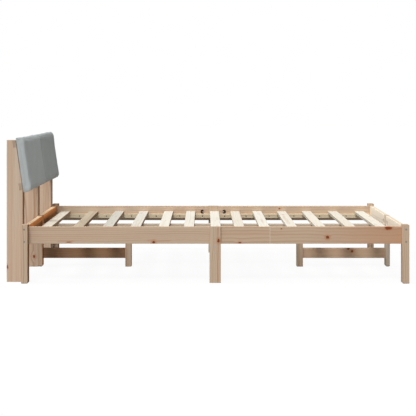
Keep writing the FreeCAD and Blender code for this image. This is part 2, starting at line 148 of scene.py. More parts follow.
class BedStageSettings(bpy.types.PropertyGroup):
    backdrop: bpy.props.FloatVectorProperty(
        name="Backdrop", description="Colour of the floor and the background behind the bed",
        subtype="COLOR", size=3, min=0, max=1, default=(1, 1, 1))
    front_strength: bpy.props.FloatProperty(
        name="Front light", description="Strength of the light from the camera's side",
        min=0, max=20, default=2.1)
    head_strength: bpy.props.FloatProperty(
        name="Head light", description="Strength of the light from behind the headboard",
        min=0, max=20, default=1.5)
    sky_strength: bpy.props.FloatProperty(
        name="Sky light", description="Strength of the even light from all round", min=0, max=5, default=0.4)
    shadow_share: bpy.props.FloatProperty(
        name="Shadow", description="How much of the bed's shadow the floor shows", min=0, max=1, default=0.08)
    lens: bpy.props.FloatProperty(
        name="Lens", description="Focal length of the camera in millimetres", min=10, max=300, default=98.9)


# Shader maths as Python expressions
class Value:
    """A number that varies over a surface: one output socket, with the operators that its expressions use."""

    def __init__(self, tree, socket):
        self.tree = tree
        self.socket = socket

    def maths(self, operation, *operands):
        return add_node(self.tree, "ShaderNodeMath", {"operation": operation}, dict(enumerate(operands)))

    def __add__(self, other):
        return self.maths("ADD", self, other)

    def __radd__(self, other):
        return self.maths("ADD", other, self)

    def __sub__(self, other):
        return self.maths("SUBTRACT", self, other)

    def __rsub__(self, other):
        return self.maths("SUBTRACT", other, self)

    def __mul__(self, other):
        return self.maths("MULTIPLY", self, other)

    def __rmul__(self, other):
        return self.maths("MULTIPLY", other, self)

    def __truediv__(self, other):
        return self.maths("DIVIDE", self, other)

    def __pow__(self, other):
        return self.maths("POWER", self, other)

    def __neg__(self):
        return self.maths("MULTIPLY", self, -1)

    def __abs__(self):
        return self.maths("ABSOLUTE", self)

    def larger(self, other):
        return self.maths("MAXIMUM", self, other)

    def part(self):
        """What is left past the whole number below."""
        return self.maths("FRACT", self)

    def sine(self):
        return self.maths("SINE", self)

    def root(self):
        return self.maths("SQRT", self)

    def exponent(self):
        return self.maths("EXPONENT", self)

    def step(self, low, high):
        """0 at low and 1 at high, with a smooth rise or fall between them: low may be the larger one."""
        rises = low < high
        return add_node(self.tree, "ShaderNodeMapRange", {"interpolation_type": "SMOOTHSTEP"}, {
            "Value": self, "From Min": min(low, high), "From Max": max(low, high),
            "To Min": 0 if rises else 1, "To Max": 1 if rises else 0}, "Result")


def add_node(tree, kind, settings=None, values=None, output=0):
    """Adds a shader node: its settings first, then its sockets, which are given by name or number and hold
    plain values or take links. Returns one of its outputs, also given by name or number."""
    node = tree.nodes.new(kind)
    for name, setting in (settings or {}).items():
        setattr(node, name, setting)
    for name, value in (values or {}).items():
        if isinstance(value, Value):
            tree.links.new(value.socket, node.inputs[name])
        else:
            node.inputs[name].default_value = value
    return Value(tree, node.outputs[output]) if node.outputs else None


class Finish:
    """One material under construction."""

    def __init__(self, name):
        self.material = bpy.data.materials.new(name)
        self.material.use_nodes = True
        self.tree = self.material.node_tree
        self.tree.nodes.clear()

    def node(self, kind, settings=None, values=None, output=0):
        return add_node(self.tree, kind, settings, values, output)

    def split(self, point):
        """A point's three values."""
        return [self.node("ShaderNodeSeparateXYZ", values={0: point}, output=axis) for axis in "XYZ"]

    def place(self):
        """The point on the surface as three values, in metres."""
        return self.split(self.node("ShaderNodeTexCoord", output="Object"))

    def vector(self, x, y, z):
        return self.node("ShaderNodeCombineXYZ", values={0: x, 1: y, 2: z})

    def noise(self, point, scale=1.0, detail=2.0, roughness=0.5):
        return self.node("ShaderNodeTexNoise", values={
            "Vector": point, "Scale": scale, "Detail": detail, "Roughness": roughness}, output="Fac")

    def blend(self, share, first, second, kind="MIX"):
        """Two colours mixed by a share."""
        first, second = (colour if isinstance(colour, Value) else (*colour, 1) for colour in (first, second))
        return self.node("ShaderNodeMix", {"data_type": "RGBA", "blend_type": kind, "clamp_result": True},
                         {0: share, 6: first, 7: second}, 2)

    def shaded(self, colour, factor):
        """A colour made lighter or darker by a value."""
        return self.node("ShaderNodeVectorMath", {"operation": "SCALE"}, {"Vector": colour, "Scale": factor})

    def done(self, colour, roughness, height, height_distance, height_strength, **constants):
        """The finished material. The height makes its bumps, and constants go into sockets of their names."""
        bumps = self.node("ShaderNodeBump", values={
            "Strength": height_strength, "Distance": height_distance, "Height": height}, output="Normal")
        values = {"Base Color": colour, "Roughness": roughness, "Normal": bumps}
        values.update((name.replace("_", " "), value) for name, value in constants.items())
        return self.surface(self.node("ShaderNodeBsdfPrincipled", values=values))

    def surface(self, shader):
        """The material with a shader on its surface."""
        self.node("ShaderNodeOutputMaterial", values={"Surface": shader})
        return self.material


# Boards: the axis of the grain, the axis across the face that shows, and the axis through the board
UPRIGHT_BY_X = ("Z", "X", "Y")
UPRIGHT_BY_Y = ("Z", "Y", "X")
LENGTHWISE_BY_Z = ("X", "Z", "Y")
LENGTHWISE_BY_Y = ("X", "Y", "Z")
CROSSWISE_BY_Z = ("Y", "Z", "X")
CROSSWISE_BY_X = ("Y", "X", "Z")

# Knots that show, by board: place along the grain and across it in the bed's own metres, half length and half
# width. Behind a near face they taper, by a share of the depth. Those long for their width are amber
SEEN_KNOTS = {
    "side_rail_left_head": [(-0.284, 0.214, 0.0075, 0.0075), (-0.735, 0.2155, 0.014, 0.0022)],
    "side_rail_left_foot": [(0.174, 0.2110, 0.0070, 0.0055), (0.641, 0.241, 0.0085, 0.0080),
                            (0.9645, 0.2915, 0.0185, 0.0105), (0.3955, 0.2865, 0.0030, 0.0025)],
    "side_rail_right_foot": [(0.466, 0.281, 0.0045, 0.0045)],
    "middle_leg_left": [(0.2245, 0.0608, 0.0095, 0.0065)],
    "headboard_fin_centre": [(0.0593, -1.0094, 0.008, 0.006)],
    "headboard_fin_left": [(0.080, -1.0658, 0.010, 0.0045)],
    "centre_leg_head": [(0.090, 0.010, 0.003, 0.003), (0.025, 0.008, 0.003, 0.003)],
    "low_stretcher_foot": [(0.829, 0.1010, 0.0080, 0.0050), (0.852, 0.0880, 0.0070, 0.0065)],
}
KNOT_TAPER = 0.45
LONG_KNOT = 1.5

# Reddish resin streaks that show, by board: both ends along the grain, place across it, and half width
SEEN_STREAKS = {
    "middle_leg_left": [(0.0, 0.300, 0.0585, 0.0060)],
    "side_rail_left_head": [(-0.795, -0.705, 0.2205, 0.0040), (-0.320, -0.192, 0.2225, 0.0042)],
}

# Glued joints that show in a board, by board: place along the grain. The rings jump aside there
SEEN_GLUE_LINES = {"side_rail_left_foot": 0.335}
RING_JUMP = 0.021

# Marks on boards: how deep below a face, or how far from the line, they begin to show and are full
END_GRAIN = (0.0012, 0.0004)
WORN_EDGE = (0.0025, 0.0008)
# The face depth places the painted light and shade on faces, and the hole depth the painted shade in holes
PAINTED_LIGHT_FACE = (0.0014, 0.0007)
HOLE_SHADE = (0.0008, 0.0018)
GLUE_LINE = (0.0022, 0.0010)

# What a board's own look is drawn from, and how far slow noise moves its rings and streaks
KNOT_RADII = (0.003, 0.0065)
KNOT_ALONG, KNOT_ACROSS = 0.9, 0.8
PITH_ACROSS = 1.1
PITH_DEPTHS = (0.022, 0.06)
SPACING_SHARES = (0.85, 1.25)
SLOW_BEND, RIPPLE_BEND, WAVE_BEND = 0.034, 0.011, 0.012
STREAK_WANDER = 0.009

# Painted light and shade that the faces towards the foot or the head are multiplied by: the dark tints are
# painted shade, the warm dark one is painted shade that also turns a face orange, and the light tints are
# painted light
PAINTED_FOOT_SHADE = (0.56, 0.42, 0.32)
PAINTED_WARM_FOOT_SHADE = (1.01, 0.60, 0.35)
PAINTED_HEAD_LIGHT = (1.22, 1.26, 1.35)
PAINTED_FOOT_LIGHT = (1.34, 1.24, 1.16)
PAINTED_SLAT_SHADE = (0.80, 0.78, 0.74)


class Board:
    """A board and the pine under construction for it, measured from its middle: along, across and through."""

    def __init__(self, name, axes):
        self.low, self.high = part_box(name)
        middle = (self.low + self.high) / 2
        half = (self.high - self.low) / 2
        numbers = ["XYZ".index(axis) for axis in axes]
        self.name = name
        self.axes = axes
        self.draw = random.Random(name)
        self.finish = Finish("pine_" + name)
        self.place = self.finish.place()
        self.middle = [middle[number] for number in numbers]
        self.half = [half[number] for number in numbers]
        self.along, self.across, self.through = (self.place[number] - middle[number] for number in numbers)

    def noise(self, beside, along, across_shift=0.0, through_shift=0.0, detail=1.0, roughness=0.5):
        """Noise with its own number of cells to the metre beside the grain and along it."""
        point = self.finish.vector(self.across * beside + across_shift, self.through * beside + through_shift,
                                   self.along * along)
        return self.finish.noise(point, detail=detail, roughness=roughness)

    def face(self, side):
        """1 on the board's face towards the foot (side 1) or the head (side -1), and 0 elsewhere: where the
        painted light and shade of its faces go.
        """
        edge = self.high.x if side > 0 else self.low.x
        return self.place[0].step(*(edge - side * depth for depth in PAINTED_LIGHT_FACE))

    def near_edge(self, number, depths):
        """A rise from 0 to 1 between two depths below the board's ends (0), edges (1) or faces (2)."""
        value = (self.along, self.across, self.through)[number]
        return abs(value).step(*(self.half[number] - depth for depth in depths))


def largest(values):
    """The largest of some values at each point."""
    most = values[0]
    for value in values[1:]:
        most = most.larger(value)
    return most


def knot_places(board, knots):
    """Each knot's place from the board's middle, its half length and half width. Those seen come first."""
    places = [(along - board.middle[0], across - board.middle[1], length, width)
              for along, across, length, width in SEEN_KNOTS.get(board.name, [])]
    while len(places) < knots:
        radius = board.draw.uniform(*KNOT_RADII)
        along = board.draw.uniform(-KNOT_ALONG, KNOT_ALONG) * board.half[0]
        across = board.draw.uniform(-KNOT_ACROSS, KNOT_ACROSS) * board.half[1]
        places.append((along, across, radius * 1.25, radius))
    return places


def knots_in(board, places, rough):
    """What knots do to a board, as lists with a value for each: how far they push the rings, their wood, the
    resinous wood round them, and their own rings. The last list has the wood of the long ones."""
    pushes, insides, halos, circles, ambers = [], [], [], [], []
    for knot_along, knot_across, length, radius in places:
        run = (board.along - knot_along) * (radius / length)
        side = board.across - knot_across
        away = (run * run + side * side).root() + (rough - 0.5) * radius * 1.1
        if board.name in SEEN_KNOTS and board.axes[2] == "Y":
            away = away + (board.through + board.half[2]) * KNOT_TAPER
        is_long = length > radius * LONG_KNOT
        inside = away.step(radius * 1.1, radius * 0.85)
        pushes.append((-(away * away) / (2.6 * radius) ** 2).exponent() * (radius * 1.3))
        insides.append(inside)
        halos.append(away.step(radius * (1.9 if is_long else 3.0), radius * 0.9))
        circles.append((away / (radius * 0.22)).part() * inside)
        if is_long:
            ambers.append(inside)
    return pushes, insides, halos, circles, ambers


def wood_colours(pale, red, tint):
    """A board's colours of early wood, late wood and resinous wood."""
    settings = bpy.context.scene.bed_pine
    sapwood = Vector(settings.slat_wood)
    early = Vector(settings.early_wood).lerp(sapwood, pale)
    late = Vector(settings.late_wood).lerp(sapwood, pale * 0.72)
    resin = Vector(settings.knot_halo).lerp(sapwood, pale * 0.4)
    early = early.lerp(resin, red * 0.35)
    late = late.lerp(resin, red * 0.6)
    return [Vector([channel * share for channel, share in zip(colour, tint)])
            for colour in (early, late, resin)]


def streaks(board, ripple, rough):
    """How strongly each resin streak of the board shows at a point."""
    shares = []
    for start, end, level, width in SEEN_STREAKS.get(board.name, []):
        wander = (ripple - 0.5) * STREAK_WANDER
        beside = abs(board.across - (level - board.middle[1]) + wander).step(width, width * 0.2)
        within = ((board.along - (start - board.middle[0])).step(-0.01, 0.012)
                  * (board.along - (end - board.middle[0])).step(0.01, -0.012))
        shares.append(beside * within * (0.25 + rough * 0.6))
    return shares


def brightness_of(board, tone, broad, fibre, ends, drilled):
    """How light a board is: darker at its ends, lighter on its edges, and with painted shade inside the holes
    cut in it.
    """
    edge = board.near_edge(1, WORN_EDGE) * board.near_edge(2, WORN_EDGE)
    brightness = (0.90 + broad * 0.14 + fibre * 0.10 - 0.02) * tone
    brightness = brightness * (1 - ends * 0.16) * (1 + edge * 0.06)
    # Painted shade inside the holes and pockets cut in the board
    if drilled:
        cut = 1 - ends
        for number in range(3):
            cut = cut * board.near_edge(number, HOLE_SHADE)
        brightness = brightness * (1 - cut * 0.55)
    return brightness


def pine(name, axes, tone=1.0, tint=(1.0, 1.0, 1.0), pale=0.0, red=0.0, rings=1.5, grain=0.48, pith=None,
         knots=0, bands=0.0, reddens=0.0, darkens=0.0, front=None, back=None, drilled=True):
    """Pine for one board: year rings round a pith of its own, knots that the grain flows round, and fibres.

    tone and tint lighten and colour it, and pale and red move it towards sapwood and resinous wood. rings
    spreads the year rings, grain is their contrast, and pith is how far off the pith lies, in half widths.
    knots is the least number of knots, bands the strength of broad resinous bands, reddens how much redder
    its higher end is and darkens how much painted shade darkens its lower edge. front and back multiply its
    faces towards the foot and the head, as painted shade where they darken and painted light where they
    lighten, and a drilled board gets painted shade inside its holes.
    """
    settings = bpy.context.scene.bed_pine
    board = Board(name, axes)
    draw, finish = board.draw, board.finish
    along, across, through = board.along, board.across, board.through
    half_along, half_across = board.half[:2]
    places = knot_places(board, knots)

    # A board glued from two lengths shows other rings on each side of the joint
    ring_across = across
    if name in SEEN_GLUE_LINES:
        past = along - (SEEN_GLUE_LINES[name] - board.middle[0])
        ring_across = across + past.step(-0.0003, 0.0003) * RING_JUMP

    # The rings, bent by slow noise along the board and pushed aside by the knots
    seed = draw.uniform(0, 40)
    slow = board.noise(4, 1.3, across_shift=seed, detail=1.5)
    wave = board.noise(9, 3.1, through_shift=seed)
    ripple = board.noise(12, 8.5, through_shift=seed)
    rough = board.noise(170, 120)
    if pith is None:
        pith = draw.uniform(-PITH_ACROSS, PITH_ACROSS)
    pith_through = draw.choice((-1, 1)) * draw.uniform(*PITH_DEPTHS)
    bend = (slow - 0.5) * SLOW_BEND
    reach_across = ring_across - pith * half_across + bend + (ripple - 0.5) * RIPPLE_BEND
    reach_through = through - pith_through + (wave - 0.5) * WAVE_BEND
    distance = (reach_across * reach_across + reach_through * reach_through).root()
    pushes, insides, halos, circles, ambers = knots_in(board, places, rough)
    for push in pushes:
        distance = distance + push
    spacing = settings.ring_spacing * rings * draw.uniform(*SPACING_SHARES)
    count = distance / spacing
    ring = count.part()
    year = finish.noise(finish.vector((count - ring) * 0.73 + seed, 0.0, along * 0.8), detail=0.0)
    late = ring.step(0.50, 0.90) * ring.step(1.0, 0.95) * year.step(0.25, 0.65)
    fibre = board.noise(700, 9, detail=2.0, roughness=0.6)
    broad = board.noise(14, 1.9, across_shift=seed, detail=2.0)
    streak = board.noise(60, 0.9, through_shift=seed).step(0.56, 0.74)

    # The colours of rings, streaks, bands and knots, one over the other
    early_colour, late_colour, resin_colour = wood_colours(pale, red, tint)
    colour = finish.blend(late * grain, early_colour, late_colour)
    colour = finish.blend(streak * (0.28 + red * 0.4), colour, resin_colour)
    if bands:
        band = board.noise(38, 0.35, across_shift=seed).step(0.42, 0.66)
        colour = finish.blend(band * bands, colour, resin_colour)
    if reddens:
        colour = finish.blend(along.step(-half_along * 0.2, half_along) * reddens, colour, resin_colour)
    for share in streaks(board, ripple, rough):
        colour = finish.blend(share, colour, resin_colour)
    if name in SEEN_GLUE_LINES:
        colour = finish.blend(abs(past).step(*GLUE_LINE) * 0.5, colour, Vector(settings.slat_wood))
    if insides:
        inside = largest(insides)
        colour = finish.blend(largest(halos) * 0.68, colour, resin_colour)
        knot_colour = finish.blend(largest(circles), settings.knot_wood, Vector(settings.knot_wood) * 1.5)
        if ambers:
            knot_colour = finish.blend(largest(ambers), knot_colour, settings.knot_amber)
        colour = finish.blend(inside * 0.92, colour, knot_colour)

    # Lighter and darker places
    ends = board.near_edge(0, END_GRAIN)
    brightness = brightness_of(board, tone, broad, fibre, ends, drilled)
    # Painted shade along the lower edge, under the slats
    if darkens:
        painted_low_shade = across.step(half_across * 0.75, half_across * 0.1)
        brightness = brightness * (1 - painted_low_shade * (0.4 + wave * 1.2) * darkens)
    colour = finish.shaded(colour, brightness)
    # Painted shade and painted light on the faces towards the foot and the head
    for shade, side in ((front, 1), (back, -1)):
        if shade:
            colour = finish.blend(board.face(side), colour, shade, "MULTIPLY")
    roughness = 0.78 + fibre * 0.12 + late * -0.06 + ends * 0.08
    height = fibre * 0.5 + late * 0.6
    if insides:
        height = height + inside * 0.8
    return finish.done(colour, roughness, height, 0.0003, 0.35, Specular_IOR_Level=0.02)


def plated_steel(name, plating, metallic):
    """Plated steel: a blotchy crystal pattern and fine marks."""
    finish = Finish(name)
    x, y, z = finish.place()
    point = finish.vector(x, y, z)
    spangle = finish.node("ShaderNodeTexVoronoi", values={"Vector": point, "Scale": 900.0}, output="Distance")
    blotch = finish.noise(point, 260.0, 3.0)
    marks = finish.noise(finish.vector(x * 3000, y * 3000, z * 3000), 1.0, 1.0)
    colour = finish.blend(blotch.step(0.35, 0.7), Vector(plating) * 0.82, plating)
    roughness = 0.34 + spangle * 0.22 + blotch * 0.12
    return finish.done(colour, roughness, marks, 0.0001, 0.3, Metallic=metallic)


def beech():
    """Beech for the dowels, with small dark flecks."""
    settings = bpy.context.scene.bed_steel
    finish = Finish("beech")
    x, y, z = finish.place()
    fleck = finish.noise(finish.vector(x * 300, y * 300, z * 300), 1.0, 3.0).step(0.55, 0.7)
    colour = finish.blend(fleck * 0.5, settings.dowel, Vector(settings.dowel) * 0.72)
    return finish.done(colour, 0.6 + fleck * 0.1, fleck, 0.0001, 0.3)


def dress(name, material):
    """Gives a node one material."""
    mesh = NODES[name].data
    mesh.materials.clear()
    mesh.materials.append(material)


def dress_family(family):
    """Gives each board of a family its own pine."""
    for name, (axes, options) in family.items():
        dress(name, pine(name, axes, **options))


class BED_OT_legs(bpy.types.Operator):
    """Gives the corner legs, middle legs, centre legs and posts their pine"""
    bl_idname = "bed.legs"
    bl_label = "Legs and posts"

    def execute(self, context):
        family = {}
        # Faces towards the foot: painted shade on the head legs, posts, middle legs and head centre leg, and
        # painted light on the foot legs and foot centre leg
        for end, face in (("head", PAINTED_FOOT_SHADE), ("foot", PAINTED_FOOT_LIGHT)):
            for side in SIDES:
                family[f"{end}_leg_{side}"] = (UPRIGHT_BY_X, {
                    "rings": 2.9, "pith": 2.6, "grain": 0.6, "tint": (0.99, 0.98, 0.97), "front": face})
            family["centre_post_" + end] = (UPRIGHT_BY_X, {"tone": 0.96, "front": PAINTED_FOOT_SHADE})
        for side in SIDES:
            family["middle_leg_" + side] = (UPRIGHT_BY_X, {"rings": 2.6, "pith": -2.4, "front": PAINTED_FOOT_SHADE})
        family["centre_leg_head"] = (UPRIGHT_BY_Y, {"tone": 1.12, "front": PAINTED_WARM_FOOT_SHADE})
        family["centre_leg_foot"] = (UPRIGHT_BY_Y, {"pale": 0.3, "front": PAINTED_FOOT_LIGHT})
        dress_family(family)
        return {"FINISHED"}


class BED_OT_rails(bpy.types.Operator):
    """Gives the side rails, cross rails and the ledgers inside them their pine"""
    bl_idname = "bed.rails"
    bl_label = "Rails and ledgers"

    def execute(self, context):
        family = {
            "side_rail_left_head": {"rings": 3.6, "pith": 1.9, "grain": 0.38, "tint": (1.0, 0.97, 0.97)},
            "side_rail_left_foot": {"rings": 4.2, "pith": -1.7, "grain": 0.34, "tint": (0.98, 0.94, 0.92),
                                    "reddens": 0.48},
            "side_rail_right_head": {"rings": 2.8, "pith": 1.5, "tone": 1.06, "pale": 0.1},
            "side_rail_right_foot": {"rings": 2.8, "pith": -1.6, "tone": 1.04, "pale": 0.1,
                                     "tint": (0.99, 0.96, 0.93)},
        }
        for side in SIDES:
            for part in ("head", "middle", "foot"):
                family[f"ledger_{side}_{part}"] = {"tone": 1.08, "pale": 0.3, "tint": (1.0, 1.03, 0.93)}
        family = {name: (LENGTHWISE_BY_Z, options) for name, options in family.items()}
        # The head rails' strong light tint is painted light on the top that the headboard shades, with
        # painted shade along their lower edge and warm painted shade on their faces towards the foot. The
        # foot rails get painted light on both faces
        for side in SIDES:
            family["head_rail_" + side] = (CROSSWISE_BY_Z, {
                "tint": (1.58, 1.56, 1.38), "bands": 0.7, "darkens": 0.6, "front": PAINTED_WARM_FOOT_SHADE})
            family["foot_rail_" + side] = (CROSSWISE_BY_Z, {
                "tone": 1.10, "pale": 0.5, "tint": (1.0, 1.0, 0.93), "front": PAINTED_FOOT_LIGHT, "back": PAINTED_HEAD_LIGHT})
        dress_family(family)
        return {"FINISHED"}


# The two slats next to the head: one paler than the rest, whose raised tone is also painted light where the
# headboard shades it, and one darker
SEEN_SLATS = {
    "slat_01": {"pale": 0.8, "tone": 1.12, "tint": (1.02, 1.02, 1.0)},
    "slat_02": {"pale": 0.2, "tone": 0.97, "tint": (1.01, 1.04, 1.0)},
}


class BED_OT_slats(bpy.types.Operator):
    """Gives the slats their pale sapwood"""
    bl_idname = "bed.slats"
    bl_label = "Slats"

    def execute(self, context):
        draw = random.Random("slats")
        family = {}
        for name in sorted(node for node in NODES if node.startswith("slat_") and node != "slat_screws"):
            # The slats' faces towards the foot and the head get painted shade
            options = {"knots": draw.choice((0, 0, 1)), "tone": draw.uniform(0.97, 1.02),
                       "pale": draw.uniform(0.6, 0.9), "tint": (1.02, 1.05, 1.06),
                       "front": PAINTED_FOOT_SHADE, "back": PAINTED_SLAT_SHADE}
            options.update(SEEN_SLATS.get(name, {}))
            family[name] = (CROSSWISE_BY_X, options)
        dress_family(family)
        return {"FINISHED"}


class BED_OT_centre_support(bpy.types.Operator):
    """Gives the centre beam, the cross beam and the low stretchers their pine"""
    bl_idname = "bed.centre_support"
    bl_label = "Centre support"

    def execute(self, context):
        family = {"middle_cross_beam": (CROSSWISE_BY_Z, {"knots": 3, "tone": 0.95})}
        for end in ("head", "foot"):
            family["centre_beam_" + end] = (LENGTHWISE_BY_Y, {"tone": 0.96, "pale": 0.25})
        # The head stretcher's low tone and warm tint are painted shade, for the shade under the bed
        family["low_stretcher_head"] = (LENGTHWISE_BY_Z, {
            "tone": 0.57, "red": 0.4, "bands": 0.3, "tint": (1.0, 0.86, 0.73)})
        family["low_stretcher_foot"] = (LENGTHWISE_BY_Z, {"tone": 0.97, "red": 0.3, "bands": 0.3})
        dress_family(family)
        return {"FINISHED"}


class BED_OT_headboard_wood(bpy.types.Operator):
    """Gives the headboard's fins and battens their pine"""
    bl_idname = "bed.headboard_wood"
    bl_label = "Headboard fins and battens"

    def execute(self, context):
        family = {}
        for name, tone in (("left", 1.09), ("centre", 1.16), ("right", 1.18)):
            # The fins' faces towards the foot get painted shade
            family["headboard_fin_" + name] = (UPRIGHT_BY_X, {
                "rings": 2.2, "grain": 0.6, "bands": 0.35, "tone": tone, "tint": (1.0, 1.04, 1.10),
                "front": PAINTED_FOOT_SHADE})
        for name in ("lower", "upper"):
            family["headboard_batten_" + name] = (CROSSWISE_BY_Z, {
                "knots": 3, "tone": 0.92, "drilled": False})
        dress_family(family)
        return {"FINISHED"}


class BED_OT_fixings(bpy.types.Operator):
    """Gives the screws, bolts, rods, washers and nuts their plating, and the dowels their beech"""
    bl_idname = "bed.fixings"
    bl_label = "Fixings"

    def execute(self, context):
        settings = context.scene.bed_steel
        for names, plating in (
            (("leg_screws", "corner_screws", "fin_bolts", "rail_joint_rods"),
             plated_steel("zinc_steel", settings.zinc, 0.4)),
            (("cross_beam_screws", "rail_joint_washers", "rail_joint_nuts"),
             plated_steel("bright_zinc_steel", Vector(settings.zinc) * 1.6, 0.3)),
            (("slat_screws", "batten_screws"), plated_steel("dark_steel", settings.bronze, 0.7)),
        ):
            for name in names:
                dress(name, plating)
        dress("dowels", beech())
        return {"FINISHED"}


# Cushions, in slant measures: across the bed, along the headboard's slanted front and out from it.
# The front starts at a height above the floor, and leans back by a length at its top
FIN_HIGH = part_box("headboard_fin_centre")[1]
SLANT_START = 0.491
SLANT_LEAN = 0.039
LEAN = math.atan2(SLANT_LEAN, FIN_HIGH.z - SLANT_START)
ALONG = Vector((-math.sin(LEAN), 0, math.cos(LEAN)))
OUT = Vector((math.cos(LEAN), 0, math.sin(LEAN)))
SLANT_POINT = Vector((FIN_HIGH.x, 0, SLANT_START))
REST_GAP = 0.0004

# The foam block's roundings, and the steps in their quarter circles
QUARTER_TURN = math.radians(90)
END_ROUND, END_STEPS = 0.003, 4
BOTTOM_ROUND, TOP_ROUND, FRONT_STEPS = 0.018, 0.015, 6
BACK_ROUND, BACK_STEPS = 0.003, 2
LEAST_ROUND = 0.001

# The cushion's cloth under air pressure: its settings and frames, how far up it is glued to its back, and the
# share of the puff that the foam leaves room for
CLOTH = {
    "quality": 5, "mass": 0.3, "tension_stiffness": 14, "compression_stiffness": 14, "shear_stiffness": 6,
    "bending_stiffness": 0.6, "use_pressure": True, "uniform_pressure_force": 4,
}
CLOTH_FRAMES = 20
GLUED_DEPTH = 0.003
PUFF_ROOM = 0.7

# The cover: its creases by cushion and its tone by cushion, which on the right one is painted shade, its
# seams as shares of the thickness, and its weave
CREASE_SEEDS = {"left": 3.0, "right": 17.0}
PAINTED_COVER_SHADES = {"left": 0.99, "right": 0.83}
SEAM_LEVELS = (0.24, 0.80)
SEAM_WIDTH = 0.0021
THREAD_PITCH = 0.0017

# The cover's dents, creases and folds: how far they reach from a corner, an edge, the top and an end, how
# high they are, and the share of the folds that reaches the middle
CORNER_REACH, EDGE_REACH, TOP_REACH, END_REACH = 0.05, 0.02, 0.05, 0.2
DENT_HEIGHT = 0.0013
CORNER_CREASE, EDGE_CREASE = 0.0013, 0.0005
FOLD_HEIGHT = 0.0022
MIDDLE_FOLDS = 0.35

# The sewing: a seam's line is a squarish oval of points on the cover, evened out, and its thread is twisted
SEAM_POINTS = 720
SEAM_SQUARENESS = 0.12
SEAM_STEP = 0.003
TWIST_PITCH = 0.0011


def corners_in_slant(node):
    """A node's lowest and highest reach across the bed, along the slant and out from it."""
    points = [Vector(vertex.co) for vertex in NODES[node].data.vertices]
    rows = [(point.y, (point - SLANT_POINT).dot(ALONG), (point - SLANT_POINT).dot(OUT)) for point in points]
    return [(min(column), max(column)) for column in zip(*rows)]


def cushion_spans(side, settings):
    """The padded cushion's reach: that of its solid, clear of the slanted front, and plumper."""
    across, along, (back, front) = corners_in_slant("cushion_" + side)
    return [across, along, (max(back, REST_GAP), front + settings.plump)]


def on_slant(across, along, out):
    """The place in the bed's own metres of a point in slant measures."""
    return SLANT_POINT + ALONG * along + OUT * out + Vector((0, across, 0))


def foam_block(spans, inset):
    """A block of foam, smaller than the given spans by the inset. Its long front edges are rounded most, its
    ends less, and its back edges hardly at all."""
    (left, right), (bottom, top), (back, front) = [(low + inset, high - inset) for low, high in spans]
    stations = []
    for step in range(END_STEPS + 1):
        turn = QUARTER_TURN * step / END_STEPS
        stations.append((END_ROUND * (1 - math.cos(turn)), END_ROUND * (1 - math.sin(turn))))
    rows = [(left + way, shrink) for way, shrink in stations]
    rows += [(right - way, shrink) for way, shrink in reversed(stations)]

    def ring(across, shrink):
        low, high, face = bottom + shrink, top - shrink, front - shrink
        corners = (
            (low, back, BACK_ROUND, 1, 1, BACK_STEPS), (low, face, BOTTOM_ROUND, 1, -1, FRONT_STEPS),
            (high, face, TOP_ROUND, -1, -1, FRONT_STEPS), (high, back, BACK_ROUND, -1, 1, BACK_STEPS),
        )
        points = []
        for number, (along, out, radius, along_in, out_in, steps) in enumerate(corners):
            radius = max(radius - shrink, LEAST_ROUND)
            for step in range(steps + 1):
                turn = QUARTER_TURN * step / steps
                first, second = radius * (1 - math.sin(turn)), radius * (1 - math.cos(turn))
                if number % 2 == 0:
                    first, second = second, first
                points.append((across, along + along_in * second, out + out_in * first))
        return points

    shape = bmesh.new()
    rings = [[shape.verts.new(point) for point in ring(*row)] for row in rows]
    for first, second in zip(rings, rings[1:]):
        for number in range(len(first)):
            after = (number + 1) % len(first)
            shape.faces.new((first[number], first[after], second[after], second[number]))
    shape.faces.new(rings[0])
    shape.faces.new(rings[-1])
    bmesh.ops.recalc_face_normals(shape, faces=shape.faces[:])
    return shape


def blown_up(pad, settings):
    """Turns the pad into cloth under air pressure, with each point's way capped, subdivided once."""
    remesh = pad.modifiers.new("grid", "REMESH")
    remesh.mode = "VOXEL"
    remesh.voxel_size = settings.voxel
    apply_modifiers(pad)
    start = np.array([vertex.co for vertex in pad.data.vertices], float)
    glued = pad.vertex_groups.new(name="glued_back")
    lowest = start[:, 2].min()
    at_back = [number for number, point in enumerate(start) if point[2] < lowest + GLUED_DEPTH]
    glued.add(at_back, 1.0, "REPLACE")
    cloth = pad.modifiers.new("cloth", "CLOTH")
    cloth.settings.vertex_group_mass = glued.name
    for name, value in CLOTH.items():
        setattr(cloth.settings, name, value)
    cloth.settings.effector_weights.gravity = 0
    cloth.collision_settings.use_collision = False
    for number in range(1, CLOTH_FRAMES + 1):
        bpy.context.scene.frame_set(number)
    apply_modifiers(pad)
    bpy.context.scene.frame_set(1)
    moved = np.array([vertex.co for vertex in pad.data.vertices], float)
    way = moved - start
    length = np.linalg.norm(way, axis=1, keepdims=True)
    moved = start + way * np.minimum(1, settings.puff / np.maximum(length, 1e-9))
    pad.data.vertices.foreach_set("co", moved.ravel())
    smooth = pad.modifiers.new("subdivision", "SUBSURF")
    smooth.levels = 1
    smooth.render_levels = 1
    apply_modifiers(pad)


def apply_modifiers(piece):
    """The piece's mesh becomes what its modifiers make of it."""
    bpy.context.view_layer.update()
    evaluated = piece.evaluated_get(bpy.context.evaluated_depsgraph_get())
    made = bpy.data.meshes.new_from_object(evaluated)
    piece.modifiers.clear()
    old = piece.data
    piece.data = made
    bpy.data.meshes.remove(old)


def fade(distance, reach):
    """1 at no distance, and towards 0 past the reach."""
    return math.exp(-(distance / reach) ** 2)


